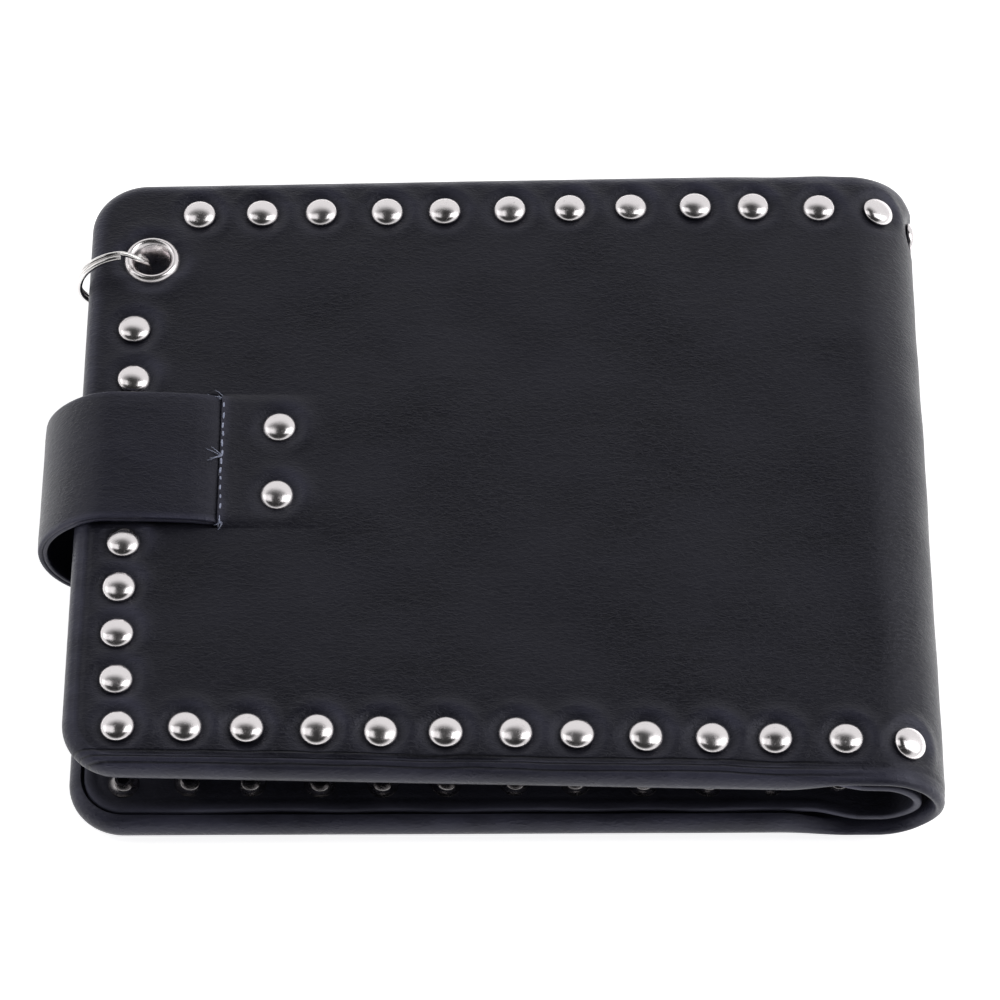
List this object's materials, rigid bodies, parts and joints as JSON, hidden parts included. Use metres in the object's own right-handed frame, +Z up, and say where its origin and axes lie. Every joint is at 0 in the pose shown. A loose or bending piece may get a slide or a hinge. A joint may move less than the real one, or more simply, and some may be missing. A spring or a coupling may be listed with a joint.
{
  "type": "bifold wallet",
  "caption": "Closed bifold leather wallet with rows of domed rivets, a snap strap round the open edge, and a corner eyelet that carries a split ring for a chain.",
  "frame": {"origin": "bottom centre of the bounding box, on the surface that the closed wallet lies on", "axes": "+X towards the spine, +Y towards the far long edge (the eyelet's side), +Z up through the front cover"},
  "size_m": [0.1331, 0.1088, 0.0232],
  "materials": {
    "cover_leather": "smooth near-black coated leather with fine creases",
    "strap_leather": "smooth two-ply coated leather",
    "pocket_leather": "thin smooth coated leather",
    "lining": "thin grained lining sheet",
    "stiffener": "pressed board with foam facing",
    "rivet_nickel": "polished nickel",
    "eyelet_nickel": "polished nickel",
    "ring_steel": "nickel plated spring steel",
    "snap_nickel": "nickel plated brass",
    "thread": "fuzzy pale blue-grey thread",
    "window_film": "clear flexible film"
  },
  "bodies": {
    "front_half": {"front_cover": "cover_leather", "front_board": "stiffener", "front_lining": "lining", "front_note_divider": "lining", "front_card_pocket_rear": "pocket_leather", "front_card_pocket_middle": "pocket_leather", "front_card_pocket_front": "pocket_leather", "front_near_rivet_caps": "rivet_nickel", "front_far_rivet_caps": "rivet_nickel", "front_edge_rivet_caps": "rivet_nickel", "strap_rivet_caps": "rivet_nickel", "front_near_rivet_backs": "rivet_nickel", "front_far_rivet_backs": "rivet_nickel", "front_edge_rivet_backs": "rivet_nickel", "strap_rivet_backs": "rivet_nickel", "eyelet_barrel": "eyelet_nickel", "eyelet_washer": "eyelet_nickel", "slit_thread": "thread", "strap_root": "strap_leather", "spine_cover_upper": "cover_leather", "spine_lining_upper": "lining", "spine_upper_rivet_caps": "rivet_nickel", "spine_upper_rivet_backs": "rivet_nickel"},
    "split_ring": {"split_ring": "ring_steel"},
    "strap_upper": {"strap_bend_upper": "strap_leather"},
    "strap_middle": {"strap_bend_middle": "strap_leather"},
    "strap_lower": {"strap_bend_lower": "strap_leather"},
    "strap_end": {"strap_tail": "strap_leather", "snap_cap": "snap_nickel", "snap_socket": "snap_nickel"},
    "spine": {"spine_cover_middle": "cover_leather", "spine_lining_middle": "lining", "spine_side_rivet_cap": "rivet_nickel", "spine_side_rivet_back": "rivet_nickel"},
    "back_half": {"back_cover": "cover_leather", "back_board": "stiffener", "back_lining": "lining", "back_note_divider": "lining", "back_card_pocket_rear": "pocket_leather", "back_card_pocket_front": "pocket_leather", "back_window_frame": "pocket_leather", "back_window_film": "window_film", "back_near_rivet_caps": "rivet_nickel", "back_far_rivet_caps": "rivet_nickel", "back_edge_rivet_caps": "rivet_nickel", "back_near_rivet_backs": "rivet_nickel", "back_far_rivet_backs": "rivet_nickel", "back_edge_rivet_backs": "rivet_nickel", "snap_stud": "snap_nickel", "snap_post": "snap_nickel", "spine_cover_lower": "cover_leather", "spine_lining_lower": "lining", "spine_lower_rivet_caps": "rivet_nickel", "spine_lower_rivet_backs": "rivet_nickel"}
  },
  "joints": [
    {"name": "fold", "type": "hinge", "parent": "back_half", "child": "spine", "pos_m": [0.06271, 0, 0.00407], "axis": [0, 1, 0], "range_deg": [0, 90]},
    {"name": "fold_front", "type": "hinge", "parent": "spine", "child": "front_half", "pos_m": [0.06271, 0, 0.01713], "axis": [0, 1, 0], "range_deg": [0, 90]},
    {"name": "strap_open", "type": "hinge", "parent": "front_half", "child": "strap_upper", "pos_m": [-0.0597, 0, 0.0216], "axis": [0, 1, 0], "range_deg": [0, 45]},
    {"name": "strap_upper_crease", "type": "hinge", "parent": "strap_upper", "child": "strap_middle", "pos_m": [-0.0657, 0, 0.0156], "axis": [0, 1, 0], "range_deg": [0, 45]},
    {"name": "strap_lower_crease", "type": "hinge", "parent": "strap_middle", "child": "strap_lower", "pos_m": [-0.0657, 0, 0.0071], "axis": [0, 1, 0], "range_deg": [0, 45]},
    {"name": "strap_end_crease", "type": "hinge", "parent": "strap_lower", "child": "strap_end", "pos_m": [-0.0597, 0, 0.0011], "axis": [0, 1, 0], "range_deg": [0, 45]},
    {"name": "ring_swing", "type": "hinge", "parent": "front_half", "child": "split_ring", "pos_m": [-0.05115, 0.0369, 0.0172], "axis": [0, 0, 1], "range_deg": [-25, 5]}
  ],
  "couplings": [
    {"joint": "fold_front", "follows": "fold", "ratio": 1},
    {"joint": "strap_upper_crease", "follows": "strap_open", "ratio": 1},
    {"joint": "strap_lower_crease", "follows": "strap_open", "ratio": 1},
    {"joint": "strap_end_crease", "follows": "strap_open", "ratio": 1}
  ]
}
